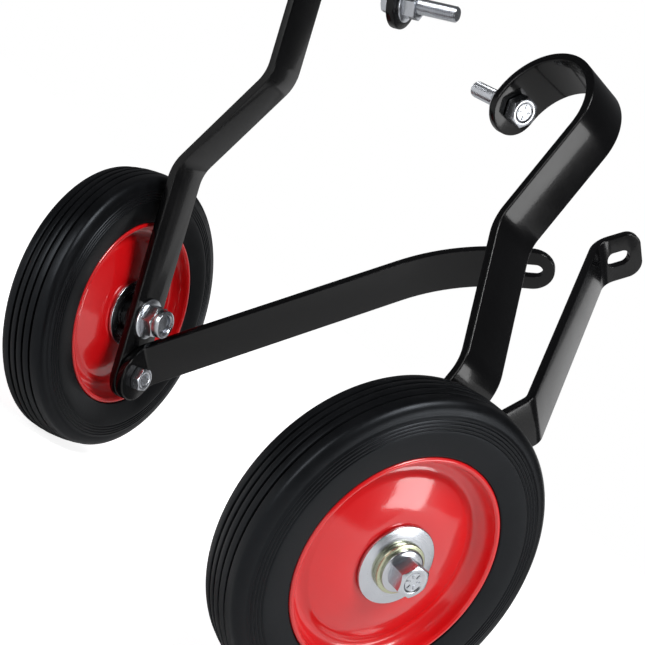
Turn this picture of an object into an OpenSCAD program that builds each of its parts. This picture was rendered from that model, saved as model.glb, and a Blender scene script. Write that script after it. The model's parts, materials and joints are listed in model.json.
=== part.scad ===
// A pair of bolt-on training wheels for a small motorcycle.
// Each unit is drawn in its own frame: origin at the wheel's centre, +X outboard,
// +Z up along the arm, +Y along the axis that the strips are bent about.
// The part's own frame has the same axes and its origin at the centre of the right hook.

/* [Tyre] */
// Outer radius of the tyre
tyre_r = 92; // [84:1:96]
// Half width of the tread
tread_half = 12.4; // [11:0.1:14]
// Half width of the tyre at its sidewalls
sidewall_half = 18; // [17.5:0.1:21]
// Depth of the grooves round the tread
groove_depth = 1.6; // [0.8:0.1:2.5]
// Width of the grooves round the tread
groove_w = 1.7; // [1:0.1:2.2]
// Depth of the fine moulded lines round each shoulder
line_depth = 0.5; // [0.2:0.1:0.8]

/* [Rim] */
// Outer radius of the rolled rim lip
lip_r = 61; // [58:0.5:64]
// Distance of the lip's crest from the wheel's middle plane
lip_x = 16.6; // [15.6:0.1:17]
// Thickness of the pressed rim sheet
sheet_t = 1.2; // [1:0.1:1.5]
// Radius of the bottom of the pressed channel
channel_r = 51; // [49:0.5:53]
// Distance of the channel's bottom from the middle plane
channel_x = 4.9; // [4:0.1:7]
// Radius of the crease where the dome starts
crease_r = 46; // [43:0.5:48]
// Distance of that crease from the middle plane
crease_x = 6.8; // [6:0.1:8.5]
// Radius of the flat seat in the middle of the dome
seat_r = 23; // [22.5:0.5:28]
// Half the width of the hub, from seat face to seat face
hub_half = 12.2; // [11.5:0.1:13.5]
// Outer radius of the hub tube
hub_r = 12; // [11.5:0.1:14]

/* [Axle] */
// Radius of the axle bolt's shank
axle_r = 6; // [5:0.5:7]
// Wall of the sleeve that the wheel turns on
sleeve_wall = 1.9; // [1.5:0.1:2.2]
// Length of each bush inside the hub tube
bush_len = 8; // [5:0.5:10]
// Outer radius of the wide washers
washer_r = 22; // [19:0.5:22]
// Thickness of the wide washers
washer_t = 2.2; // [1.5:0.1:3]
// Outer radius of the zinc collar under the bolt's head
collar_r = 14; // [13.5:0.5:17]
// Thickness of that collar
collar_t = 3.5; // [2:0.5:5]
// Outer radius of the spacer between wheel and arm
spacer_r = 13; // [10:0.5:15]
// Length of that spacer
spacer_len = 7; // [6:0.5:12]
// Width across the flats of the axle bolt's head
axle_head_af = 16; // [14:0.5:18]
// Height of the axle bolt's head with its flange
axle_head_h = 12; // [9:0.5:14]
// Width across the flats of the axle nut
axle_nut_af = 19; // [17:0.5:21]
// Height of the axle nut with its collar
axle_nut_h = 15; // [12:0.5:18]
// Radius of the axle nut's flange
axle_flange_r = 13.5; // [12.5:0.5:14]

/* [Strips] */
// Width of the steel strip of the arms and stays
strip_w = 32; // [30:1:34]
// Thickness of the steel strip
strip_t = 5; // [4:0.5:6]
// Inside radius of the arm's two bends
arm_bend_r = 24; // [10:1:34]
// Distance of the pivot bolt below the axle
pivot_drop = 38; // [36:1:42]
// Height of the arm's first bend above the axle, along the outer face
arm_lower = 100; // [96:1:112]
// Distance between the arm's two bends, along the outer face
arm_middle = 85; // [70:1:100]
// Lean of the arm's middle stretch towards the motorcycle
arm_lean = 34; // [25:1:40]
// Height of the hook's centre above the second bend
arm_upper = 64; // [50:1:80]
// Inside radius of the hook
hook_r = 30; // [26:1:34]
// Drop of the clamp bolt below the hook's centre
hook_drop = 2; // [1:0.5:8]

/* [Clamp bolt] */
// Radius of the clamp bolt's shank
clamp_r = 5; // [4:0.5:6]
// Length of the clamp bolt under its head
clamp_len = 40; // [32:1:50]
// Width across the flats of the clamp bolt's head and nut
clamp_af = 16; // [14:0.5:18]
// Height of the clamp bolt's head
clamp_head_h = 7; // [5:0.5:8]
// Height of the clamp bolt's flanged nut
clamp_nut_h = 10; // [8:0.5:12]
// Radius of that nut's flange
clamp_flange_r = 11.5; // [10.5:0.5:13]

/* [Pivot bolt] */
// Radius of the pivot bolt's shank
pivot_r = 4; // [3:0.5:5]
// Width across the flats of the pivot bolt's head and nut
pivot_af = 14; // [12:0.5:15]
// Height of the pivot bolt's head
pivot_head_h = 6; // [4:0.5:7]
// Height of the pivot nut
pivot_nut_h = 6; // [5:0.5:6.5]

/* [Right stay] */
// Heading of the right stay, from the arm's line towards +Y
right_heading = 30.5; // [20:0.5:40]
// Length of the flat end behind the right stay's first bend
right_foot = 8.6; // [8.5:0.1:9.5]
// Sideways step that carries the right stay over the axle nut
right_step = 20; // [19:0.5:24]
// Lean of that step
right_step_lean = 60; // [55:1:65]
// Length of the right stay between its step and its long lean
right_flat = 128.5; // [115:0.5:140]
// Lean of the right stay's long straight stretch
right_lean = 38; // [30:1:42]
// Length of that stretch
right_long = 147; // [135:1:165]
// Lean of the right stay's tab, past the line of the arm
right_tab_lean = 17; // [5:1:25]
// Inside radius of the bend before the right stay's tab
right_tab_bend_r = 14; // [6:0.5:16]
// Length of the right stay's tab
right_tab = 20; // [18:0.5:40]
// Corner radius at the end of that tab
right_tab_corner = 10; // [6:0.5:13]

/* [Left stay] */
// Heading of the left stay, from the arm's line towards +Y
left_heading = 51; // [50:1:75]
// Length of the flat end behind the left stay's first bend
left_foot = 9; // [8.5:0.5:14]
// Lean of the left stay's long straight stretch
left_lean = 33; // [15:1:36]
// Length of that stretch
left_long = 184; // [180:1:230]
// Inside radius of the left stay's long curve
left_curve_r = 125; // [100:5:180]
// Angle that the long curve turns through
left_curve = 37; // [30:1:60]
// Length of the left stay's tab
left_tab = 27.5; // [21:0.5:34]

/* [Stay slot] */
// Width of the slot at the end of each stay
slot_w = 10.5; // [8.5:0.5:12]
// Length of that slot, end to end
slot_len = 16; // [14:0.5:18]
// Metal past the end of the right stay's slot
slot_margin = 8; // [6:0.5:10]
// Inside radius of the stays' tight bends
stay_bend_r = 6; // [4:0.5:8]

/* [Placing] */
// Left wheel's centre beside the right wheel's centre, along X
left_x = -304; // [-340:1:-290]
// Left wheel's centre beside the right wheel's centre, along Y
left_y = -16; // [-40:1:20]
// Left wheel's centre beside the right wheel's centre, along Z
left_z = -10; // [-30:1:20]
// Turn of the left unit about X
left_roll = 14; // [5:1:20]
// Turn of the left unit about Y
left_pitch = -18; // [-25:1:-5]
// Turn of the left unit about Z
left_yaw = 23; // [10:1:30]

/* [Fits] */
// Gap between pieces that move past each other
run_gap = 0.3; // [0.2:0.05:0.5]
// Radial clearance of a shaft that turns in its bore
shaft_fit = 0.06; // [0.03:0.01:0.1]
// Radial clearance of a bolt in a plain hole
bolt_fit = 0.3; // [0.2:0.05:0.6]
// Gap between the tyre and the rim that it is pressed over
tyre_fit = 0.15; // [0.1:0.05:0.25]

/* [Hidden] */
$fn = 96;

// Axial places, measured from the wheel's middle plane
sleeve_half = hub_half + run_gap;
washer_face = sleeve_half + washer_t;
collar_face = washer_face + collar_t;
arm_face = washer_face + spacer_len;
arm_back = arm_face + strip_t;
stay_face = arm_back + run_gap;
stay_back = stay_face + strip_t;

// Details that all bolts and nuts share: how far the crests of a thread lie under the
// shank, a flange's share of a head's height and its top radius as a share of the width
// across flats, and the dish in a head
crest_drop = 0.1;
end_chamfer = 1;
flange_share = 0.22;
flange_top = 0.56;
dish_share = 0.34;
dish_depth = 0.7;
nut_flange_h = 2.4;
axle_recess = 2;
axle_collar_h = 5;
pivot_excess = 1.5;
clamp_corner = clamp_af / 2 / cos(30) - hook_drop;
head_lift = hook_r - sqrt(pow(hook_r, 2) - pow(max(clamp_corner, 0), 2)) + 0.02;
clamp_thread = clamp_len - strip_t - clamp_nut_h;
sleeve_r = axle_r + bolt_fit / 2 + sleeve_wall;
bush_bore_r = sleeve_r + shaft_fit;
hub_wall = 1.5;
bush_r = hub_r - hub_wall;

// Places along the arm
half_w = strip_w / 2;
bend_out = (arm_bend_r + strip_t) * tan(arm_lean / 2);
bend_in = arm_bend_r * tan(arm_lean / 2);
hook_height = arm_lower + arm_middle * cos(arm_lean) + arm_upper;
hook_offset = arm_face + arm_middle * sin(arm_lean) + strip_t + hook_r;
clamp_face = hook_offset + hook_r;
clamp_height = hook_height - hook_drop;

// Each entry of a strip's path is a straight length, then a bend and its inside radius
bend_step = 4.5;
arm_path = [
  [half_w + pivot_drop + arm_lower - bend_out, arm_lean, arm_bend_r],
  [arm_middle - bend_out - bend_in, -arm_lean, arm_bend_r],
  [arm_upper - bend_in, 180, hook_r],
  [hook_drop + half_w, 0, 0]
];
tab_end = slot_len / 2 + slot_margin;
step_len = right_step / sin(right_step_lean)
  - (2 * stay_bend_r + strip_t) * tan(right_step_lean / 2);
right_path = [
  [half_w + right_foot, right_step_lean, stay_bend_r],
  [step_len, -right_step_lean, stay_bend_r],
  [right_flat, right_lean, stay_bend_r],
  [right_long, -right_lean - right_tab_lean, right_tab_bend_r],
  [right_tab, 0, 0]
];
left_path = [
  [half_w + left_foot, left_lean, stay_bend_r],
  [left_long, left_curve, left_curve_r],
  [left_tab, 0, 0]
];

// Points along one face of a strip, k of its thickness in from the first face.
// The path starts half a width behind the foot's hole, and h is the lean so far.
function along(h) = [sin(h), cos(h)];
function across(h) = [cos(h), -sin(h)];
function to_face(seg, k) = seg[1] > 0 ? k - strip_t - seg[2] : k + seg[2];
function bend_steps(seg) = ceil(abs(seg[1]) / bend_step);
function strip_edge(path, k, i = 0, p = [0, -half_w], h = 0) =
  let (seg = path[i], q = p + seg[0] * along(h), c = q - to_face(seg, 0) * across(h))
  concat(
    [p + k * across(h), q + k * across(h)],
    i == len(path) - 1 ? [] : concat(
      [for (j = [1:bend_steps(seg) - 1])
        c + to_face(seg, k) * across(h + seg[1] * j / bend_steps(seg))],
      strip_edge(path, k, i + 1, c + to_face(seg, 0) * across(h + seg[1]), h + seg[1])
    )
  );

// Rim sheet's middle line, as [radius, distance from the middle plane]
curl_r = 1;
curl_c = lip_r - curl_r - sheet_t / 2;
curl_x = lip_x - curl_r - sheet_t / 2;
wall_r = curl_c - curl_r;
seat_x = hub_half - sheet_t / 2;
function wall_at(k) = [
  wall_r - (wall_r - channel_r) * (1 - cos(90 * k)),
  curl_x - (curl_x - channel_x) * sin(90 * k)
];
function rise_at(k) = [
  channel_r + (crease_r - channel_r) * k,
  channel_x + (crease_x - channel_x) * (1 - cos(90 * k))
];
function dome_at(k) = [
  crease_r + (seat_r - crease_r) * k,
  crease_x + (seat_x - crease_x) * sin(90 * k)
];
rim_line = concat(
  [for (a = [0:30:150]) [curl_c + curl_r * cos(a), curl_x + curl_r * sin(a)]],
  [for (k = [0:0.125:1]) wall_at(k)],
  [for (k = [0.25:0.25:1]) rise_at(k)],
  [for (k = [0.125:0.125:1]) dome_at(k)],
  [[hub_r, seat_x]]
);

// Points beside a line, a distance d to its left
function unit(v) = v / norm(v);
function left_of(v) = [-v[1], v[0]];
function tangent(line, i) =
  unit(line[min(i + 1, len(line) - 1)] - line[max(i - 1, 0)]);
function beside(line, d) = [for (i = [0:len(line) - 1]) line[i] + d * left_of(tangent(line, i))];

// Half outline of the tyre, from the middle of its tread to the middle of its bore
rib_pitch = tread_half / 2.4;
tread_grooves = [for (i = [0.5, 1.5]) i * rib_pitch];
shoulder_r = tyre_r - 8.5;
shoulder_x = sidewall_half - 1.2;
line_places = [for (i = [0:3]) shoulder_r - 1.5 - 1.8 * i];
bead_r = lip_r + tyre_fit;
bead_x = curl_x - 0.3;
tyre_wall = beside([for (k = [0:0.1:0.6]) wall_at(k)], sheet_t / 2 + tyre_fit);
tyre_half = concat(
  [[tyre_r, 0]],
  [for (g = tread_grooves, s = [[-1, 0], [-0.6, 1], [0.6, 1], [1, 0]])
    [tyre_r - 0.01 * g * g - s[1] * groove_depth, g + s[0] * groove_w / 2]],
  [for (a = [0:15:90]) [
    shoulder_r + (tyre_r - 1.2 - shoulder_r) * cos(a),
    tread_half + (shoulder_x - tread_half) * sin(a)]],
  [for (p = line_places, s = [[0.5, 0], [0, 1], [-0.5, 0]])
    [p + s[0], side_x(p + s[0]) - s[1] * line_depth]],
  [for (k = [0.1:0.15:0.85]) let (r = line_places[3] - 1 + (bead_r + 1 - line_places[3]) * k)
    [r, side_x(r)]],
  [[bead_r, lip_x - 0.5], [bead_r, bead_x], [tyre_wall[0][0] + 0.4, bead_x]],
  [for (i = [1:len(tyre_wall) - 1]) tyre_wall[i]]
);
function side_x(r) = lip_x - 0.5 + (sidewall_half - lip_x + 0.5)
  * sin(180 * pow((shoulder_r + 4 - r) / (shoulder_r + 4 - lip_r), 0.8));
function mirrored(half) = concat(half, [for (i = [len(half) - 1:-1:1]) [half[i][0], -half[i][1]]]);

// Placing of the two units
module right_unit() {
  translate([hook_offset, 0, -hook_height]) children();
}

module left_unit() {
  right_unit()
    translate([left_x, left_y, left_z])
    rotate([left_roll, left_pitch, left_yaw])
    mirror([1, 0, 0])
    children();
}

// Shapes turned about the wheel's axis
module lathe() {
  rotate([0, 90, 0]) rotate_extrude($fn = 120) children();
}

module tube_x(r, bore, x0, x1) {
  translate([x0, 0, 0]) rotate([0, 90, 0]) difference() {
    cylinder(r = r, h = x1 - x0);
    translate([0, 0, -1]) cylinder(r = bore, h = x1 - x0 + 2);
  }
}

// Hexagon with its outer corners turned off, standing on z = 0
module hex_prism(af, h) {
  intersection() {
    cylinder(d = af / cos(30), h = h, $fn = 6);
    cylinder(r1 = af / 2 - 0.2 + h * tan(60), r2 = af / 2 - 0.2, h = h);
  }
}

// Bolt whose head stands on +Z and whose shank runs to -Z from the head's seat.
// Its last stretch, thread_len long, is the thread's crests, a little thinner.
module bolt(r, length, thread_len, af, head_h, flange_r) {
  flange_h = flange_r > 0 ? head_h * flange_share : 0;
  union() {
    if (flange_r > 0) cylinder(r1 = flange_r, r2 = af * flange_top, h = flange_h);
    translate([0, 0, flange_h]) difference() {
      hex_prism(af, head_h - flange_h);
      translate([0, 0, head_h - flange_h - dish_depth]) cylinder(r = af * dish_share, h = 2);
    }
    translate([0, 0, -length + thread_len]) cylinder(r = r, h = length - thread_len);
    translate([0, 0, -length + end_chamfer])
      cylinder(r = r - crest_drop, h = thread_len - end_chamfer);
    translate([0, 0, -length])
      cylinder(r1 = r - end_chamfer, r2 = r - crest_drop, h = end_chamfer);
  }
}

// Nut that stands on z = 0, with a flange and, if collar_h is set, a round top collar
module nut(bore, af, h, flange_r, collar_h) {
  flange_h = flange_r > 0 ? nut_flange_h : 0;
  difference() {
    union() {
      if (flange_r > 0) cylinder(r1 = flange_r, r2 = af * flange_top, h = flange_h);
      translate([0, 0, flange_h]) hex_prism(af, h - flange_h - collar_h);
      if (collar_h > 0) translate([0, 0, flange_h]) cylinder(r = af / 2 - 0.3, h = h - flange_h);
    }
    translate([0, 0, -1]) cylinder(r = bore, h = h + 2);
  }
}

// Cuts one end's corners to a radius, drawn in the strip's plane with the end at x = 0
module end_cut(corner) {
  for (s = [0, 1]) mirror([0, s]) translate([-corner, half_w - corner]) difference() {
    square(corner + 1);
    circle(r = corner);
  }
}

module slot_outline() {
  reach = (slot_len - slot_w) / 2;
  translate([-reach, -slot_w / 2]) square([2 * reach, slot_w]);
  for (s = [-1, 1]) translate([s * reach, 0]) circle(d = slot_w);
}

// Flat outlines in the strip's plane, cut right through its thickness
module through_strip() {
  translate([-1, 0, 0]) rotate([90, 0, 90]) linear_extrude(height = strip_t + 2) children();
}

module at_strip_end(path, i = 0) {
  bend = path[i][1];
  centre = bend > 0 ? strip_t + path[i][2] : -path[i][2];
  translate([0, path[i][0], 0])
    if (i < len(path) - 1)
      translate([centre, 0, 0]) rotate([0, 0, -bend]) translate([-centre, 0, 0])
        at_strip_end(path, i + 1) children();
    else children();
}

// Strip bent along its path. The foot's hole is at the origin and its round end behind it
module strip(path, corner) {
  back = strip_edge(path, strip_t);
  difference() {
    translate([0, 0, -half_w]) linear_extrude(height = strip_w)
      polygon(concat(strip_edge(path, 0), [for (i = [len(back) - 1:-1:0]) back[i]]));
    through_strip() translate([-half_w, 0]) rotate(180) end_cut(half_w);
    translate([0, -half_w, 0]) at_strip_end(path) through_strip() end_cut(corner);
  }
}

// Stands a strip up in a unit's frame, its first face against the distance face
module stand(face) {
  translate([-face, 0, -pivot_drop]) rotate([90, 0, 180]) children();
}

module tyre() {
  color("#1c1c1e") lathe() polygon(mirrored(tyre_half));
}

module rim_disc() {
  back = beside(rim_line, -sheet_t / 2);
  lathe() polygon(concat(
    beside(rim_line, sheet_t / 2),
    [for (i = [len(back) - 1:-1:0]) back[i]]
  ));
}

module rim_outer() {
  color("#d4161a") rim_disc();
}

module rim_inner() {
  color("#d4161a") mirror([1, 0, 0]) rim_disc();
}

module hub_tube() {
  color("#d4161a") tube_x(hub_r, bush_r, -hub_half, hub_half);
}

module hub_bushes() {
  color("#8f8f8a") for (s = [0, 1]) mirror([s, 0, 0])
    tube_x(bush_r, bush_bore_r, hub_half - bush_len, hub_half);
}

module arm() {
  color("#17171a") stand(arm_face) difference() {
    strip(arm_path, half_w);
    through_strip() circle(r = pivot_r + bolt_fit);
    through_strip() translate([pivot_drop, 0]) circle(r = axle_r + bolt_fit);
    translate([0, -half_w, 0]) at_strip_end(arm_path)
      through_strip() translate([-half_w, 0]) circle(r = clamp_r + bolt_fit);
  }
}

module axle_bolt() {
  length = collar_face + arm_back + axle_nut_h - axle_recess;
  color("#c9ccd0") translate([collar_face, 0, 0]) rotate([0, 90, 0])
    bolt(axle_r, length, axle_nut_h, axle_head_af, axle_head_h, collar_r - 2);
}

module axle_collar() {
  color("#b9b77a") tube_x(collar_r, axle_r + bolt_fit, washer_face, collar_face);
}

module axle_washers() {
  color("#c9ccd0") for (s = [0, 1]) mirror([s, 0, 0])
    tube_x(washer_r, axle_r + bolt_fit, sleeve_half, washer_face);
}

module axle_sleeve() {
  color("#9a9a98") tube_x(sleeve_r, axle_r + bolt_fit / 2, -sleeve_half, sleeve_half);
}

module axle_spacer() {
  color("#202022") tube_x(spacer_r, axle_r + bolt_fit, -arm_face, -washer_face);
}

module axle_nut() {
  color("#c9ccd0") translate([-arm_back, 0, 0]) rotate([0, -90, 0])
    nut(axle_r - crest_drop + shaft_fit, axle_nut_af, axle_nut_h, axle_flange_r, axle_collar_h);
}

module clamp_bolt() {
  color("#c9ccd0") translate([head_lift - clamp_face, 0, clamp_height]) rotate([0, 90, 0])
    bolt(clamp_r, clamp_len + head_lift, clamp_thread, clamp_af, clamp_head_h, 0);
}

module clamp_nut() {
  color("#c9ccd0") translate([-clamp_face - strip_t, 0, clamp_height]) rotate([0, -90, 0])
    nut(clamp_r + shaft_fit, clamp_af, clamp_nut_h, clamp_flange_r, 0);
}

module pivot_bolt() {
  length = stay_back + run_gap - arm_face + pivot_nut_h + pivot_excess;
  color("#c9ccd0") translate([-stay_back - run_gap, 0, -pivot_drop]) rotate([0, -90, 0])
    bolt(pivot_r, length, pivot_nut_h + pivot_excess, pivot_af, pivot_head_h, 0);
}

module pivot_nut() {
  color("#c9ccd0") translate([-arm_face, 0, -pivot_drop]) rotate([0, 90, 0])
    nut(pivot_r - crest_drop + shaft_fit, pivot_af, pivot_nut_h, 0, 0);
}

module stay(path, heading, corner) {
  slot_place = max(corner, tab_end);
  color("#17171a") stand(stay_face) rotate([heading, 0, 0]) difference() {
    strip(path, corner);
    through_strip() circle(r = pivot_r + shaft_fit);
    translate([0, -half_w, 0]) at_strip_end(path)
      through_strip() translate([-slot_place, 0]) slot_outline();
  }
}

module right_stay() {
  stay(right_path, right_heading, right_tab_corner);
}

module left_stay() {
  stay(left_path, left_heading, half_w);
}

right_unit() tyre();  // right_tyre
right_unit() rim_outer();  // right_rim_outer
right_unit() rim_inner();  // right_rim_inner
right_unit() hub_tube();  // right_hub_tube
right_unit() hub_bushes();  // right_hub_bushes
right_unit() arm();  // right_arm
right_unit() axle_bolt();  // right_axle_bolt
right_unit() axle_collar();  // right_axle_collar
right_unit() axle_washers();  // right_axle_washers
right_unit() axle_sleeve();  // right_axle_sleeve
right_unit() axle_spacer();  // right_axle_spacer
right_unit() axle_nut();  // right_axle_nut
right_unit() clamp_bolt();  // right_clamp_bolt
right_unit() clamp_nut();  // right_clamp_nut
right_unit() pivot_bolt();  // right_pivot_bolt
right_unit() pivot_nut();  // right_pivot_nut
right_unit() right_stay();
left_unit() tyre();  // left_tyre
left_unit() rim_outer();  // left_rim_outer
left_unit() rim_inner();  // left_rim_inner
left_unit() hub_tube();  // left_hub_tube
left_unit() hub_bushes();  // left_hub_bushes
left_unit() arm();  // left_arm
left_unit() axle_bolt();  // left_axle_bolt
left_unit() axle_collar();  // left_axle_collar
left_unit() axle_washers();  // left_axle_washers
left_unit() axle_sleeve();  // left_axle_sleeve
left_unit() axle_spacer();  // left_axle_spacer
left_unit() axle_nut();  // left_axle_nut
left_unit() clamp_bolt();  // left_clamp_bolt
left_unit() clamp_nut();  // left_clamp_nut
left_unit() pivot_bolt();  // left_pivot_bolt
left_unit() pivot_nut();  // left_pivot_nut
left_unit() left_stay();
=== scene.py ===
"""Looks of the pair of training wheels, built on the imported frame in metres."""

import json
import math

import bpy
from mathutils import Matrix, Vector


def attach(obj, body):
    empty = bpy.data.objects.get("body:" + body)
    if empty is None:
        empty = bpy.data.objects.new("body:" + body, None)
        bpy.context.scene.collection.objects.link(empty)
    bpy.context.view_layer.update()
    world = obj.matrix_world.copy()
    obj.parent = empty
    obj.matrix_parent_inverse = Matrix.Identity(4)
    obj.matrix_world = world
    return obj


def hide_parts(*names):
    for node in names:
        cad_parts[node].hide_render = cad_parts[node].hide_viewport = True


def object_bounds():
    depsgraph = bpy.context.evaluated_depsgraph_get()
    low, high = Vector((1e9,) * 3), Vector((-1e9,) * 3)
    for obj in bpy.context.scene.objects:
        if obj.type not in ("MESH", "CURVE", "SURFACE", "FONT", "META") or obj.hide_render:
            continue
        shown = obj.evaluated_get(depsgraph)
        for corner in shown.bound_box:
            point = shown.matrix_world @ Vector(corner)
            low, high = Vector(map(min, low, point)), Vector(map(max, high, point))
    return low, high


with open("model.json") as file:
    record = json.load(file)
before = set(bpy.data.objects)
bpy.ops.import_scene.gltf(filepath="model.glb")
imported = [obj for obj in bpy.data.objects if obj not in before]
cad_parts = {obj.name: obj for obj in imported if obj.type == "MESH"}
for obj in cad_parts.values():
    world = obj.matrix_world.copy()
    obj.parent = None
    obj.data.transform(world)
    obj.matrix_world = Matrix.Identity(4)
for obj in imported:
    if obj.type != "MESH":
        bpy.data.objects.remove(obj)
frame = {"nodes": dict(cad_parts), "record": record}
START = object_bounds()

MM = 0.001
TAU = 2 * math.pi


def rad(a):
    return math.radians(a)


# Sizes in millimetres, in a unit's own frame: the wheel's middle is the origin, +X points
# outboard along the axle and +Z up along the arm

# Tyre: tread, grooves, shoulder, and the fine rings below the shoulder
TYRE_R, TREAD_HALF, WALL_HALF = 92.0, 12.4, 18.0
GROOVE_DEPTH, GROOVE_W = 1.6, 1.7
SHOULDER_DROP, SHOULDER_IN, TREAD_DROP = 8.5, 1.2, 1.2
RINGS, RING_FIRST, RING_PITCH = 4, 1.5, 1.8
TYRE_GAP = 0.15

# Rim discs and hub
LIP_R, LIP_X, SHEET = 61.0, 16.6, 1.2
CURL_R = 1.0
CHANNEL_R, CHANNEL_X, CREASE_R, CREASE_X = 51.0, 4.9, 46.0, 6.8
SEAT_R, HUB_R, HUB_HALF = 23.0, 12.0, 12.2

# Stack of pieces on the axle, by their faces along X
WASHER_R, WASHER_T, SLEEVE_HALF, WASHER_FACE = 22.0, 2.2, 12.5, 14.7
COLLAR_R, COLLAR_T, COLLAR_FACE = 14, 3.5, 18.2
SPACER_R, SPACER_T = 13, 7
ARM_FACE, ARM_BACK, STAY_FACE, STAY_BACK = 21.7, 26.7, 27.0, 32.0
STAY_GAP = 0.3

# Arm and stays, bent from strip
STRIP_W, STRIP_T, PIVOT_DROP = 32.0, 5.0, 38.0
HALF_W = STRIP_W / 2
STRIP_EDGE = 0.7
ARM_BEND_R, ARM_LOWER, ARM_MIDDLE, ARM_LEAN, ARM_UPPER = 24.0, 100.0, 85.0, 34.0, 64.0
HOOK_R, HOOK_DROP = 30.0, 2.0
STAY_BEND_R, STEP_RISE, STEP_LEAN = 6, 20, 60
SLOT_REACH, SLOT_R, SLOT_INSET = 2.75, 5.25, 16.0

# Bolts and nuts: the shank's radius, then the head, thread and nut
AXLE_R, AXLE_BORE = 6.0, 6.3
AXLE_HEAD = {"af": 16, "height": 12, "flange_r": 12, "ticks": 6}
AXLE_THREAD = {"r": 5.9, "x0": 0, "x1": 13, "pitch": 1.75}
AXLE_NUT = {"bore": 5.96, "af": 19, "height": 15, "flange_r": 13.5, "collar": 5}
CLAMP_R, CLAMP_BORE = 5.0, 5.3
CLAMP_HEAD = {"af": 16, "height": 7, "flange_r": 0, "ticks": 4}
CLAMP_THREAD = {"r": 4.9, "x0": 15, "x1": 40, "pitch": 1.5}
CLAMP_NUT = {"bore": 5.06, "af": 16, "height": 10, "flange_r": 11.5, "collar": 0}
CLAMP_SHANK = 10
PIVOT_R, PIVOT_BORE, STAY_BORE = 4.0, 4.3, 4.06
PIVOT_HEAD = {"af": 14, "height": 6, "flange_r": 0, "ticks": 3}
PIVOT_THREAD = {"r": 3.9, "x0": 0, "x1": 7.5, "pitch": 1.25}
PIVOT_NUT = {"bore": 3.96, "af": 14, "height": 6, "flange_r": 0, "collar": 0}

# What follows from the sizes above
SHOULDER_R, SHOULDER_X = TYRE_R - SHOULDER_DROP, WALL_HALF - SHOULDER_IN
CURL_C = LIP_R - CURL_R - SHEET / 2
CURL_X = LIP_X - CURL_R - SHEET / 2
WALL_R = CURL_C - CURL_R
SEAT_X = HUB_HALF - SHEET / 2
LEAN = rad(ARM_LEAN)
BEND_OUT = (ARM_BEND_R + STRIP_T) * math.tan(LEAN / 2)
BEND_IN = ARM_BEND_R * math.tan(LEAN / 2)
HOOK_HEIGHT = ARM_LOWER + ARM_MIDDLE * math.cos(LEAN) + ARM_UPPER
HOOK_OFFSET = ARM_FACE + ARM_MIDDLE * math.sin(LEAN) + STRIP_T + HOOK_R
CLAMP_FACE = HOOK_OFFSET + HOOK_R
CLAMP_HEIGHT = HOOK_HEIGHT - HOOK_DROP
# The clamp bolt's head stands off the strip until its corners clear the hook's curve
CORNER_OVER = CLAMP_HEAD["af"] / 2 / math.cos(rad(30)) - HOOK_DROP
HEAD_LIFT = HOOK_R - math.sqrt(HOOK_R ** 2 - CORNER_OVER ** 2) + 0.02

# Where each unit stands: a matrix from its own millimetres to the row's metres
ORIGIN = Vector((HOOK_OFFSET, 0, -HOOK_HEIGHT))
LEFT_MOVE = Vector((-304, -16, -10))
LEFT_TURN = (Matrix.Rotation(rad(23), 4, "Z") @ Matrix.Rotation(rad(-18), 4, "Y")
             @ Matrix.Rotation(rad(14), 4, "X"))
TO_METRES = Matrix.Scale(MM, 4)
UNITS = {
    "right": TO_METRES @ Matrix.Translation(ORIGIN),
    "left": TO_METRES @ Matrix.Translation(ORIGIN + LEFT_MOVE)
    @ LEFT_TURN @ Matrix.Scale(-1, 4, Vector((1, 0, 0))),
}


# ---- materials ----
class Shader:
    """A material's node tree, with short calls for the nodes it uses."""

    def __init__(self, name):
        self.mat = bpy.data.materials.new(name)
        self.mat.use_nodes = True
        self.tree = self.mat.node_tree
        self.bsdf = self.tree.nodes["Principled BSDF"]

    def new(self, kind):
        return self.tree.nodes.new("ShaderNode" + kind)

    def fill(self, socket, value):
        """Links an input to another node's output, or sets it to a plain value."""
        if isinstance(value, bpy.types.NodeSocket):
            self.tree.links.new(value, socket)
        else:
            socket.default_value = value

    def node(self, kind, **sockets):
        n = self.new(kind)
        for key, value in sockets.items():
            self.fill(n.inputs[key.replace("_", " ")], value)
        return n

    def base(self, **sockets):
        for key, value in sockets.items():
            self.fill(self.bsdf.inputs[key.replace("_", " ")], value)

    def coords(self, kind="Object", scale=(1, 1, 1)):
        m = self.node("Mapping", Vector=self.new("TexCoord").outputs[kind])
        m.inputs["Scale"].default_value = scale
        return m.outputs[0]

    def noise(self, vector, scale, detail=4.0, rough=0.6):
        n = self.node("TexNoise", Vector=vector, Scale=scale, Detail=detail, Roughness=rough)
        return n.outputs[0]

    def span(self, value, low, high, out_low, out_high):
        """Maps low to high onto out_low to out_high, and holds the ends."""
        n = self.node("MapRange", Value=value, From_Min=low, From_Max=high,
                      To_Min=out_low, To_Max=out_high)
        return n.outputs[0]

    def mix(self, factor, a, b):
        n = self.new("Mix")
        n.data_type = "RGBA"
        # Inputs 6 and 7 and output 2 are the colour ones
        for index, value in ((0, factor), (6, a), (7, b)):
            self.fill(n.inputs[index], value)
        return n.outputs[2]

    def math(self, how, a, b):
        n = self.new("Math")
        n.operation = how
        self.fill(n.inputs[0], a)
        self.fill(n.inputs[1], b)
        return n.outputs[0]

    def vector_math(self, how, *values):
        n = self.new("VectorMath")
        n.operation = how
        for index, value in enumerate(values):
            self.fill(n.inputs[index], value)
        return n.outputs["Value"]

    def bump(self, height, distance, strength=1.0, normal=None):
        n = self.node("Bump", Height=height, Distance=distance, Strength=strength)
        if normal is not None:
            self.fill(n.inputs["Normal"], normal)
        return n.outputs[0]

    def rounded(self, radius):
        n = self.new("Bevel")
        n.samples = 4
        n.inputs["Radius"].default_value = radius
        return n.outputs[0]


def rgb(r, g, b):
    return (r, g, b, 1.0)


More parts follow.
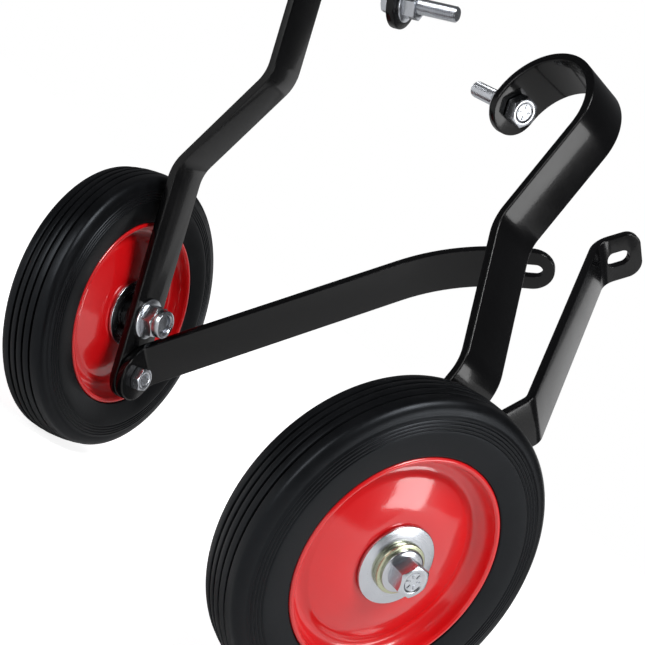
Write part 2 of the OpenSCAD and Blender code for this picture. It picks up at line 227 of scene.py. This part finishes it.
def rubber():
    s = Shader("tyre_rubber")
    at = s.coords()
    fine = s.noise(at, 2600, 3, 0.7)
    broad = s.noise(at, 45, 4)
    grain = s.bump(s.noise(at, 320, 3), 0.00006, 0.35)
    s.base(
        Base_Color=s.mix(s.span(broad, 0.35, 0.7, 0, 1),
                         rgb(0.0014, 0.0015, 0.0018), rgb(0.0034, 0.0036, 0.0041)),
        Roughness=s.math("ADD", s.span(broad, 0.3, 0.7, 0.26, 0.36),
                         s.span(fine, 0.3, 0.7, 0, 0.08)),
        Specular_IOR_Level=0.21, Specular_Tint=rgb(0.84, 0.91, 1.0),
        Normal=s.bump(fine, 0.00004, 0.5, grain))
    return s.mat


def enamel():
    s = Shader("red_enamel")
    at = s.coords()
    broad = s.noise(at, 30, 3)
    peel = s.noise(at, 420, 2)
    s.base(
        Base_Color=s.mix(broad, rgb(0.62, 0.003, 0.005), rgb(0.70, 0.005, 0.008)),
        Roughness=s.span(broad, 0.3, 0.7, 0.30, 0.38), Specular_IOR_Level=0.3,
        Coat_Weight=1.0, Coat_Roughness=0.09,
        Normal=s.bump(peel, 0.00004, 0.5), Coat_Normal=s.bump(peel, 0.00005, 0.5))
    return s.mat


def powder():
    """Black enamel whose edges are rounded in the shading, with paler paint in patches along the
    edges that is partly wear and partly a painted highlight.
    """
    s = Shader("black_enamel")
    at = s.coords()
    broad = s.noise(at, 38, 4)
    peel = s.noise(at, 800, 2)
    edge_wear_and_highlight_noise = s.noise(at, 260, 6, 0.75)
    soft = s.rounded(0.0009)
    flat = s.new("NewGeometry").outputs["True Normal"]
    near_edge = s.span(s.vector_math("DOT_PRODUCT", soft, flat), 0.97, 0.80, 0, 1)
    # Paler paint in patches along every edge: partly worn paint, partly a painted highlight along
    # the edges
    edge = s.math("MULTIPLY", near_edge, s.span(edge_wear_and_highlight_noise, 0.55, 0.72, 0, 0.6))
    black = s.mix(broad, rgb(0.0010, 0.0010, 0.0012), rgb(0.0021, 0.0021, 0.0024))
    s.base(
        Base_Color=s.mix(edge, black, rgb(0.018, 0.018, 0.019)),
        Roughness=s.math("ADD", s.span(broad, 0.3, 0.7, 0.17, 0.25),
                         s.span(edge, 0, 1, 0, 0.25)),
        Specular_IOR_Level=0.16, Coat_Weight=0.26, Coat_Roughness=0.06,
        Normal=s.bump(peel, 0.00005, 0.45, soft), Coat_Normal=s.bump(peel, 0.00004, 0.3, soft))
    return s.mat


def plated(name, low, high, rough):
    """Plated steel with fine turning marks that run round each piece."""
    s = Shader(name)
    at = s.coords()
    turned = s.noise(s.coords("UV", (3, 900, 1)), 1.0, 4)
    broad = s.noise(at, 90, 4)
    fine = s.noise(at, 1500, 3)
    s.base(
        Base_Color=s.mix(broad, low, high), Metallic=1.0,
        Roughness=s.math("ADD", s.span(turned, 0.3, 0.7, rough, rough + 0.12),
                         s.span(fine, 0.3, 0.7, 0, 0.06)),
        Normal=s.bump(turned, 0.00002, 0.25, s.bump(fine, 0.00001, 0.25, s.rounded(0.0003))))
    return s.mat


MATERIALS = {
    "tyre_rubber": rubber(),
    "red_enamel": enamel(),
    "black_enamel": powder(),
    "bright_zinc": plated("bright_zinc", rgb(0.46, 0.48, 0.52), rgb(0.64, 0.66, 0.69), 0.14),
    "yellow_zinc": plated("yellow_zinc", rgb(0.42, 0.45, 0.30), rgb(0.56, 0.58, 0.42), 0.18),
    "plain_steel": plated("plain_steel", rgb(0.36, 0.36, 0.36), rgb(0.46, 0.46, 0.46), 0.30),
}


# ---- meshes ----
def add(name, data):
    obj = bpy.data.objects.new(name, data)
    bpy.context.collection.objects.link(obj)
    return obj


def backwards(loops):
    return [tuple(reversed(loop)) for loop in loops]


def unit_mesh(side, name, verts, faces):
    """A mesh from points in a unit's millimetres. The left unit is mirrored, so faces turn over."""
    mesh = bpy.data.meshes.new(name)
    mesh.from_pydata([UNITS[side] @ Vector(v) for v in verts], [],
                     backwards(faces) if side == "left" else faces)
    return mesh


def shade(mesh, smooth):
    mesh.shade_smooth()
    mesh.set_sharp_from_angle(angle=rad(smooth))


def make(side, name, verts, faces, slot, nodes, body, uvs=None, smooth=35, cutters=()):
    """Adds one piece from points in its unit's millimetres, and hides the nodes it stands for."""
    mesh = unit_mesh(side, side + "_" + name, verts, faces)
    if uvs:
        layer = mesh.uv_layers.new(name="UVMap")
        flat = [c for face in (backwards(uvs) if side == "left" else uvs) for c in face]
        for i, uv in enumerate(flat):
            layer.data[i].uv = uv
    mesh.materials.append(MATERIALS[slot])
    mesh.validate()
    shade(mesh, smooth)
    obj = add(side + "_" + name, mesh)
    if cutters:
        cut(obj, side, cutters, smooth)
    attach(obj, body)
    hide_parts(*[side + "_" + n for n in nodes])
    return obj


def cut(obj, side, cutters, smooth):
    """Takes prisms out of a piece, and keeps the result as plain mesh."""
    for verts, faces in cutters:
        tool = add("tool", unit_mesh(side, "tool", verts, faces))
        mod = obj.modifiers.new("cut", "BOOLEAN")
        mod.object = tool
        mod.operation = "DIFFERENCE"
        mod.solver = "EXACT"
        bpy.context.view_layer.update()
        graph = bpy.context.evaluated_depsgraph_get()
        fresh = bpy.data.meshes.new_from_object(obj.evaluated_get(graph))
        obj.modifiers.clear()
        obj.data = fresh
        bpy.data.objects.remove(tool)
    shade(obj.data, smooth)


def value(v, t):
    return v(t) if callable(v) else v


def turned_grid(rows, steps, closed):
    """Points, faces and UVs of rows of (x, radius), turned about +X.

    A row's x or radius may be a function of the angle. Closed rows make a ring with a bore,
    and open ones get a flat face at each end.
    """
    verts, faces, uvs = [], [], []
    run = [0.0]
    for (x0, r0), (x1, r1) in zip(rows, rows[1:]):
        a = [value(v, 0.0) for v in (x0, r0, x1, r1)]
        run.append(run[-1] + math.hypot(a[2] - a[0], a[3] - a[1]))
    for x, r in rows:
        for k in range(steps):
            t = TAU * k / steps
            rr = value(r, t)
            verts.append((value(x, t), rr * math.cos(t), rr * math.sin(t)))
    n = len(rows)
    for i in range(n if closed else n - 1):
        j = (i + 1) % n
        for k in range(steps):
            m = (k + 1) % steps
            faces.append((i * steps + k, j * steps + k, j * steps + m, i * steps + m))
            u0, u1 = k / steps, (k + 1) / steps
            v0 = run[i] * MM
            v1 = run[j] * MM if j else v0 + MM
            uvs.append(((u0, v0), (u0, v1), (u1, v1), (u1, v0)))
    if not closed:
        for i, flip in ((0, False), (n - 1, True)):
            loop = [i * steps + k for k in range(steps)]
            faces.append(tuple(loop[::-1] if flip else loop))
            uvs.append(tuple((0.5, run[i] * MM) for _ in loop))
    return verts, faces, uvs


def join(*parts):
    """Several (verts, faces, uvs) as one mesh."""
    verts, faces, uvs = [], [], []
    for v, f, u in parts:
        base = len(verts)
        verts += v
        faces += [tuple(i + base for i in face) for face in f]
        uvs += u
    return verts, faces, uvs


def facing(part, x, way):
    """Moves a part built from x = 0 towards +X to a place, pointing way (1 or -1) along X."""
    verts, faces, uvs = part
    verts = [(x + way * p[0], p[1], p[2]) for p in verts]
    return (verts, faces, uvs) if way > 0 else (verts, backwards(faces), backwards(uvs))


def lowered(part, z):
    """Moves a part along Z, by the signed height z."""
    verts, faces, uvs = part
    return [(p[0], p[1], p[2] + z) for p in verts], faces, uvs


# ---- tyre and rim ----
def side_x(r):
    """How far the sidewall stands from the middle plane at a radius."""
    foot_in, top = 0.5, SHOULDER_R + 4
    share = max(0.0, (top - r) / (top - LIP_R)) ** 0.8
    return LIP_X - foot_in + (WALL_HALF - LIP_X + foot_in) * math.sin(math.pi * share)


def wall_at(k):
    """A point on the wall from the rim's curl (k = 0) down to its channel (k = 1)."""
    a = k * math.pi / 2
    return (WALL_R - (WALL_R - CHANNEL_R) * (1 - math.cos(a)),
            CURL_X - (CURL_X - CHANNEL_X) * math.sin(a))


def rim_line():
    """The rim sheet's middle line as (radius, distance from the middle plane)."""
    line = [(CURL_C + CURL_R * math.cos(rad(a)), CURL_X + CURL_R * math.sin(rad(a)))
            for a in range(-60, 180, 15)]
    line += [wall_at(k / 24) for k in range(25)]
    line += [(CHANNEL_R + (CREASE_R - CHANNEL_R) * k,
              CHANNEL_X + (CREASE_X - CHANNEL_X) * (1 - math.cos(k * math.pi / 2)))
             for k in (0.2, 0.4, 0.6, 0.8, 0.92, 1.0)]
    line += [(CREASE_R + (SEAT_R - CREASE_R) * k / 20,
              CREASE_X + (SEAT_X - CREASE_X) * math.sin(k / 20 * math.pi / 2))
             for k in range(1, 21)]
    return line + [(HUB_R + 4, SEAT_X), (HUB_R, SEAT_X)]


def beside(line, d):
    """A line of points moved sideways by d."""
    out = []
    for i, p in enumerate(line):
        a, b = line[max(i - 1, 0)], line[min(i + 1, len(line) - 1)]
        t = Vector((b[0] - a[0], b[1] - a[1])).normalized()
        out.append((p[0] - d * t.y, p[1] + d * t.x))
    return out


def rim_rows():
    line = rim_line()
    loop = beside(line, SHEET / 2) + beside(line, -SHEET / 2)[::-1]
    return [(x, r) for r, x in loop]


def tyre_rows():
    """The tyre's outline as (x, radius), from the tread's middle round to it again."""
    pitch = TREAD_HALF / 2.4
    half = [(0.0, TYRE_R)]
    for g in (pitch / 2, 1.5 * pitch):
        crown = TYRE_R - 0.01 * g * g
        w = GROOVE_W / 2
        half += [(g - w - 0.5, crown), (g - w, crown - 0.12), (g - w + 0.16, crown - 0.5),
                 (g - w * 0.55, crown - GROOVE_DEPTH), (g + w * 0.55, crown - GROOVE_DEPTH),
                 (g + w - 0.16, crown - 0.5), (g + w, crown - 0.12), (g + w + 0.5, crown)]
    half += [(TREAD_HALF + (SHOULDER_X - TREAD_HALF) * math.sin(rad(a)),
              SHOULDER_R + (TYRE_R - TREAD_DROP - SHOULDER_R) * math.cos(rad(a)))
             for a in range(0, 91, 9)]
    # Each ring is a fine groove: offsets along the radius, and depths
    ring_profile = ((0.75, 0), (0.5, 0.05), (0.25, 0.4), (0, 0.5),
                    (-0.25, 0.4), (-0.5, 0.05), (-0.75, 0))
    for i in range(RINGS):
        r = SHOULDER_R - RING_FIRST - RING_PITCH * i
        half += [(side_x(r + d) - drop, r + d) for d, drop in ring_profile]
    last = SHOULDER_R - RING_FIRST - RING_PITCH * (RINGS - 1) - 1
    foot = LIP_R + 1.2
    half += [(side_x(r), r) for r in [last + (foot - last) * k / 14 for k in range(1, 15)]]
    half += [(LIP_X - 0.5, LIP_R + 0.4), (LIP_X - 1.0, LIP_R + TYRE_GAP),
             (CURL_X - 0.3, LIP_R + TYRE_GAP)]
    bore = beside([wall_at(k / 10) for k in range(7)], SHEET / 2 + TYRE_GAP)
    half += [(CURL_X - 0.3, bore[0][0] + 0.4)] + [(x, r) for r, x in bore[1:]]
    return half + [(-x, r) for x, r in half[:0:-1]]


# ---- turned and hexagonal pieces, standing on x = 0 and pointing to +X ----
def ring(length, r, bore, edge):
    """A washer or collar with softened edges."""
    near = edge * 0.3
    rows = [(0, bore + edge), (0, r - edge), (near, r - near), (edge, r), (length - edge, r),
            (length - near, r - near), (length, r - edge), (length, bore + edge),
            (length - edge, bore), (edge, bore)]
    return turned_grid(rows, 96, True)


def hexagon(af):
    """A hexagon's radius by angle, from its width across flats."""
    return lambda t: af / 2 / math.cos((t % (TAU / 6)) - TAU / 12)


def hex_rows(af, x0, x1):
    """A hexagon's rows, with its corners turned off at 30 degrees at its far end."""
    side = hexagon(af)
    top = af / 2 - 0.2
    slope = math.tan(rad(60))
    return [(x0, side), (lambda t: x1 - max(0.0, side(t) - top) / slope, side), (x1, top)]


def flange_rows(r, height, af):
    """A flange's rounded rim and its rise to the hexagon."""
    return [(0, r - 0.5), (0.12, r - 0.15), (0.5, r), (height * 0.62, r - 0.1),
            (height * 0.74, r - 0.5), (height * 0.82, r - 1.2),
            (height * 0.95, af * 0.56 + 0.4), (height, af * 0.56)]


def no_uvs(faces):
    return [tuple((0, 0) for _ in f) for f in faces]


def thread(r, x0, x1, pitch):
    """A real helical thread from x0 to x1, with a chamfered tip at x1."""
    steps, rows_per_turn, flank, chamfer = 40, 8, 1.15, 1.0
    depth = pitch * 0.5
    count = max(8, int((x1 - x0) / pitch * rows_per_turn))
    verts, faces, uvs = [], [], []
    for i in range(count + 1):
        x = x0 + (x1 - x0) * i / count
        for k in range(steps):
            phase = (x / pitch - k / steps) % 1.0
            rr = r - depth * min(1.0, abs(phase * 2 - 1) * flank)
            rr = min(rr, r - chamfer + (x1 - x))
            t = TAU * k / steps
            verts.append((x, rr * math.cos(t), rr * math.sin(t)))
    for i in range(count):
        for k in range(steps):
            m = (k + 1) % steps
            faces.append((i * steps + k, (i + 1) * steps + k,
                          (i + 1) * steps + m, i * steps + m))
            uvs.append(((0, 0), (0, 0.01), (0.01, 0.01), (0.01, 0)))
    ends = [tuple(range(steps)), tuple(count * steps + k for k in reversed(range(steps)))]
    return verts, faces + ends, uvs + no_uvs(ends)


def box_part(x0, x1, y0, y1, z0, z1, turn):
    """A box, turned about X."""
    c, s = math.cos(turn), math.sin(turn)
    verts = [(x, y * c - z * s, y * s + z * c)
             for x in (x0, x1) for y in (y0, y1) for z in (z0, z1)]
    faces = [(0, 1, 3, 2), (4, 6, 7, 5), (0, 4, 5, 1), (2, 3, 7, 6), (0, 2, 6, 4), (1, 5, 7, 3)]
    return verts, faces, no_uvs(faces)


def bolt_head(af, height, flange_r, ticks):
    """A head with a dished face and plain raised ticks on it."""
    dish, dish_depth = af * 0.34, 0.7
    tick_low, tick_top, tick_half = 0.8, 0.32, 0.35
    base = height * 0.22 if flange_r else 0.0
    rows = [(0, 0.5)]
    rows += flange_rows(flange_r, base, af) if flange_r else [(0, af / 2 - 0.4)]
    rows += hex_rows(af, base, height)
    rows += [(height, dish + 0.6), (height - 0.15, dish + 0.15),
             (height - dish_depth, dish - 0.5), (height - dish_depth, 0.5)]
    parts = [turned_grid(rows, 96, False)]
    for k in range(ticks):
        parts.append(box_part(height - tick_low, height - tick_top, dish * 0.40, dish * 0.80,
                              -tick_half, tick_half, TAU * (k + 0.3) / ticks))
    return join(*parts)


def nut_part(bore, af, height, flange_r, collar):
    """A nut, with a flange below and a round collar on top where it has them."""
    base = 2.4 if flange_r else 0.0
    rows = [(0, bore + 0.5)]
    rows += flange_rows(flange_r, base, af) if flange_r else [(0, af / 2 - 0.4)]
    rows += hex_rows(af, base, height - collar)
    if collar:
        r = af / 2 - 0.3
        rows += [(height - collar + 0.1, r), (height - 0.8, r), (height - 0.25, r - 0.25),
                 (height, r - 0.8)]
    rows += [(height, bore + 0.8), (height - 0.8, bore), (0.5, bore)]
    return turned_grid(rows, 96, True)


# ---- bent strips: a path is a list of (flat length, bend in degrees, inner bend radius) ----
def half_bend(seg):
    return seg[2] + STRIP_T / 2


def path_length(path):
    return sum(s[0] for s in path) + sum(abs(rad(s[1])) * half_bend(s) for s in path[:-1])


def bent(path, s, k):
    """Place on a strip's path as (across, along), at distance s along it and depth k in it."""
    x, y, h = 0.0, -HALF_W, 0.0
    for i, seg in enumerate(path):
        last = i == len(path) - 1
        if s <= seg[0] or last:
            return x + s * math.sin(h) + k * math.cos(h), y + s * math.cos(h) - k * math.sin(h)
        x += seg[0] * math.sin(h)
        y += seg[0] * math.cos(h)
        s -= seg[0]
        bend = rad(seg[1])
        reach = (STRIP_T + seg[2]) if bend > 0 else -seg[2]
        cx, cy = x + reach * math.cos(h), y - reach * math.sin(h)
        arc = abs(bend) * half_bend(seg)
        if s < arc:
            g = h + bend * s / arc
            return cx - (reach - k) * math.cos(g), cy + (reach - k) * math.sin(g)
        h += bend
        x, y = cx - reach * math.cos(h), cy + reach * math.sin(h)
        s -= arc


def strip_stations(path, corner):
    """Stations along a strip as (distance, half width, and the edge's outward direction)."""
    stations = []
    for a in range(3, 91, 6):
        c, s = math.cos(rad(a)), math.sin(rad(a))
        stations.append((HALF_W * (1 - c), HALF_W * s, -c, s))
    at = 0.0
    for seg in path[:-1]:
        at += seg[0]
        if stations[-1][0] < at - 1:
            stations.append((at, HALF_W, 0, 1))
        arc = abs(rad(seg[1])) * half_bend(seg)
        steps = max(2, math.ceil(abs(seg[1]) / 3))
        stations += [(at + arc * i / steps, HALF_W, 0, 1) for i in range(1, steps + 1)]
        at += arc
    total = path_length(path)
    for a in range(90, 0, -6):
        c, s = math.cos(rad(a)), math.sin(rad(a))
        stations.append((total - corner * (1 - c), HALF_W - corner * (1 - s), c, s))
    return stations


def hole_prism(path, place, middle, reach, r):
    """A round hole (reach 0) or slot through a strip, as a prism to take out."""
    sides, over = 48, 2
    outline = [(middle + math.copysign(reach, math.cos(t)) + r * math.cos(t), r * math.sin(t))
               for t in [TAU * (i + 0.5) / sides for i in range(sides)]]
    verts = [place(*bent(path, s, k), w) for k in (-over, STRIP_T + over) for s, w in outline]
    faces = [(i, (i + 1) % sides, sides + (i + 1) % sides, sides + i) for i in range(sides)]
    faces += [tuple(reversed(range(sides))), tuple(range(sides, 2 * sides))]
    return verts, faces


def strip_part(path, corner, place, holes):
    """A strip with rounded ends and softened edges, and its holes as prisms to take out."""
    stations = strip_stations(path, corner)
    edge = STRIP_EDGE
    levels = [(0, edge), (edge * 0.1, edge * 0.55), (edge * 0.3, edge * 0.3),
              (edge * 0.55, edge * 0.1), (edge, 0)]
    levels += [(STRIP_T - k, d) for k, d in levels[::-1]]
    verts, faces = [], []
    for k, inset in levels:
        for side, order in ((-1, stations), (1, stations[::-1])):
            for s, w, ns, nw in order:
                x, y = bent(path, s - ns * inset, k)
                verts.append(place(x, y, side * max(0.05, w - nw * inset)))
    n = len(stations)
    loop = 2 * n
    for j in range(len(levels) - 1):
        for i in range(loop):
            m = (i + 1) % loop
            faces.append((j * loop + i, j * loop + m, (j + 1) * loop + m, (j + 1) * loop + i))
    top = (len(levels) - 1) * loop
    for i in range(n - 1):
        a, b, c, d = i, i + 1, loop - 2 - i, loop - 1 - i
        faces.append((a, d, c, b))
        faces.append((top + a, top + b, top + c, top + d))
    return verts, faces, [hole_prism(path, place, *hole) for hole in holes]


def stand(face, heading=0.0):
    """Places a strip's (across, along, width) with its front at -face, turned by its heading."""
    c, s = math.cos(rad(heading)), math.sin(rad(heading))
    return lambda x, y, z: (-face - x, y * s + z * c, -PIVOT_DROP + y * c - z * s)


ARM_PATH = [(HALF_W + PIVOT_DROP + ARM_LOWER - BEND_OUT, ARM_LEAN, ARM_BEND_R),
            (ARM_MIDDLE - BEND_OUT - BEND_IN, -ARM_LEAN, ARM_BEND_R),
            (ARM_UPPER - BEND_IN, 180, HOOK_R), (HOOK_DROP + HALF_W, 0, 0)]
# The flat part of the right stay's joggle, which carries it over the axle nut
STEP = (STEP_RISE / math.sin(rad(STEP_LEAN))
        - (2 * STAY_BEND_R + STRIP_T) * math.tan(rad(STEP_LEAN / 2)))
# Each stay's path, its heading in degrees from the arm, and the radius of its tab's corners
STAYS = {
    "right": ([(HALF_W + 8.6, STEP_LEAN, STAY_BEND_R), (STEP, -STEP_LEAN, STAY_BEND_R),
               (128.5, 38, STAY_BEND_R), (147, -55, 14), (20, 0, 0)], 30.5, 10),
    "left": ([(HALF_W + 9, 33, STAY_BEND_R), (184, 37, 125), (27.5, 0, 0)], 51, HALF_W),
}


def build_wheel(side, piece):
    wheel = side + "_wheel"
    piece("tyre_look", turned_grid(tyre_rows(), 240, True), "tyre_rubber", "tyre", wheel, 50)
    rim = turned_grid(rim_rows(), 200, True)
    piece("rim_outer_look", rim, "red_enamel", "rim_outer", wheel, 60)
    piece("rim_inner_look", facing(rim, 0, -1), "red_enamel", "rim_inner", wheel, 60)


def build_axle(piece):
    washer = ring(WASHER_T, WASHER_R, AXLE_BORE, 0.6)
    piece("washers_look", join(facing(washer, SLEEVE_HALF, 1), facing(washer, -SLEEVE_HALF, -1)),
          "bright_zinc", "axle_washers")
    piece("collar_look", facing(ring(COLLAR_T, COLLAR_R, AXLE_BORE, 0.5), WASHER_FACE, 1),
          "yellow_zinc", "axle_collar")
    piece("spacer_look", facing(ring(SPACER_T, SPACER_R, AXLE_BORE, 0.4), -WASHER_FACE, -1),
          "black_enamel", "axle_spacer")
    shank = turned_grid([(-ARM_BACK + 0.5, AXLE_R), (COLLAR_FACE, AXLE_R)], 64, False)
    piece("axle_bolt_look", join(facing(bolt_head(**AXLE_HEAD), COLLAR_FACE, 1), shank,
                                 facing(thread(**AXLE_THREAD), -ARM_BACK, -1)),
          "bright_zinc", "axle_bolt")
    piece("axle_nut_look", facing(nut_part(**AXLE_NUT), -ARM_BACK, -1),
          "bright_zinc", "axle_nut")


def build_clamp(piece):
    head = HEAD_LIFT - CLAMP_FACE
    back = -CLAMP_FACE - STRIP_T
    shank = turned_grid([(back - CLAMP_SHANK, CLAMP_R), (head, CLAMP_R)], 64, False)
    bolt = join(facing(bolt_head(**CLAMP_HEAD), head, 1), shank,
                facing(thread(**CLAMP_THREAD), -CLAMP_FACE, -1))
    piece("clamp_bolt_look", lowered(bolt, CLAMP_HEIGHT), "bright_zinc", "clamp_bolt")
    piece("clamp_nut_look", lowered(facing(nut_part(**CLAMP_NUT), back, -1), CLAMP_HEIGHT),
          "bright_zinc", "clamp_nut")


def build_pivot(piece):
    seat = -STAY_BACK - STAY_GAP
    shank = turned_grid([(seat, PIVOT_R), (-ARM_FACE, PIVOT_R)], 48, False)
    bolt = join(facing(bolt_head(**PIVOT_HEAD), seat, -1), shank,
                facing(thread(**PIVOT_THREAD), -ARM_FACE, 1))
    piece("pivot_bolt_look", lowered(bolt, -PIVOT_DROP), "bright_zinc", "pivot_bolt")
    piece("pivot_nut_look", lowered(facing(nut_part(**PIVOT_NUT), -ARM_FACE, 1), -PIVOT_DROP),
          "bright_zinc", "pivot_nut")


def build_strips(side):
    hook_end = path_length(ARM_PATH) - HALF_W
    verts, faces, holes = strip_part(
        ARM_PATH, HALF_W, stand(ARM_FACE),
        [(HALF_W, 0, PIVOT_BORE), (HALF_W + PIVOT_DROP, 0, AXLE_BORE), (hook_end, 0, CLAMP_BORE)])
    make(side, "arm_look", verts, faces, "black_enamel", ["arm"], "arms",
         smooth=40, cutters=holes)
    path, heading, corner = STAYS[side]
    slot = path_length(path) - max(corner, SLOT_INSET)
    verts, faces, holes = strip_part(path, corner, stand(STAY_FACE, heading),
                                     [(HALF_W, 0, STAY_BORE), (slot, SLOT_REACH, SLOT_R)])
    make(side, "stay_look", verts, faces, "black_enamel", ["stay"], side + "_stay",
         smooth=40, cutters=holes)


def build(side):
    def piece(name, part, slot, node, body="arms", smooth=35):
        make(side, name, part[0], part[1], slot, [node], body, part[2], smooth)

    build_wheel(side, piece)
    build_axle(piece)
    build_clamp(piece)
    build_pivot(piece)
    build_strips(side)


for unit in UNITS:
    build(unit)

# The CAD pieces that stay as they are only get their materials
for entry in frame["record"]["subparts"]:
    for slot in frame["nodes"][entry["node"]].material_slots:
        slot.material = MATERIALS[entry["material_slot"]]

# ---- stage: a white floor just below the part, which the camera sees a little darker near by ----
FLOOR_GAP, FLOOR_HALF = 0.0005, 30
FLOOR_Z = START[0][2] - FLOOR_GAP
paint = Shader("floor_white")
grain = paint.noise(paint.coords(), 40, 3)
fade = paint.span(paint.vector_math("LENGTH", paint.coords()), 0.4, 1.1, 0.82, 1.0)
seen = paint.new("LightPath").outputs["Is Camera Ray"]
paint.base(Base_Color=paint.mix(grain, rgb(0.90, 0.90, 0.90), rgb(0.93, 0.93, 0.93)),
           Roughness=1.0, IOR=1.0, Emission_Color=rgb(1, 1, 1),
           Emission_Strength=paint.math("MULTIPLY", seen, fade))
floor_mesh = bpy.data.meshes.new("floor")
floor_mesh.from_pydata([(x * FLOOR_HALF, y * FLOOR_HALF, FLOOR_Z)
                        for x, y in ((-1, -1), (1, -1), (1, 1), (-1, 1))], [], [(0, 1, 2, 3)])
floor_mesh.materials.append(paint.mat)
floor = add("floor", floor_mesh)

# ---- world: dim light on the part, and white where the camera looks past it ----
world = bpy.data.worlds.new("studio")
world.use_nodes = True
tree = world.node_tree
dim = tree.nodes["Background"]
dim.inputs["Color"].default_value = rgb(0.95, 0.96, 1.0)
dim.inputs["Strength"].default_value = 0.10
white = tree.nodes.new("ShaderNodeBackground")
white.inputs["Color"].default_value = rgb(1, 1, 1)
white.inputs["Strength"].default_value = 1.0
ray = tree.nodes.new("ShaderNodeLightPath")
either = tree.nodes.new("ShaderNodeMixShader")
tree.links.new(ray.outputs["Is Camera Ray"], either.inputs[0])
tree.links.new(dim.outputs[0], either.inputs[1])
tree.links.new(white.outputs[0], either.inputs[2])
tree.links.new(either.outputs[0], tree.nodes["World Output"].inputs["Surface"])
bpy.context.scene.world = world

# ---- camera: its axes and place are fitted to the photograph's viewing angle, in metres ----
RIGHT = Vector((0.4908, 0.6004, 0.6314))
DOWN = Vector((0.4080, 0.4820, -0.7754))
FORWARD = Vector((-0.7699, 0.6382, -0.0084))
EYE = Vector((0.60293, -0.53620, -0.15897))
camera_data = bpy.data.cameras.new("camera")
camera_data.sensor_width = 36.0
camera_data.lens = 81.28
camera_data.clip_end = 100.0
camera = add("camera", camera_data)
axes = Matrix((RIGHT, -DOWN, -FORWARD)).transposed()
camera.matrix_world = Matrix.Translation(EYE) @ axes.to_4x4()
bpy.context.scene.camera = camera

# ---- lights: all of them point at the target ----
TARGET = Vector((-0.02, 0.0, -0.16))
# Name, place along the view's own right, up and back directions, edge in metres, power in watts
LIGHTS = [
    ("key", -0.9, 1.2, 1.4, 1.0, 20),
    ("fill", 1.5, 0.95, 1.1, 0.8, 33),
    ("side", 1.5, -0.68, 0.6, 0.55, 6.5),
    ("back", 1.5, -0.5, -2.1, 1.3, 4),
    ("table", 1.35, -1.25, 0.0, 1.0, 2.6),
]


def softbox(name, side, up, back, size, power):
    light = bpy.data.lights.new(name, "AREA")
    light.shape = "SQUARE"
    light.size = size
    light.energy = power
    place = TARGET + side * RIGHT - up * DOWN - back * FORWARD
    z = (place - TARGET).normalized()
    add(name, light).matrix_world = (Matrix.Translation(place)
                                     @ z.to_track_quat("Z", "Y").to_matrix().to_4x4())


for settings in LIGHTS:
    softbox(*settings)
bpy.context.scene.view_settings.view_transform = "Standard"
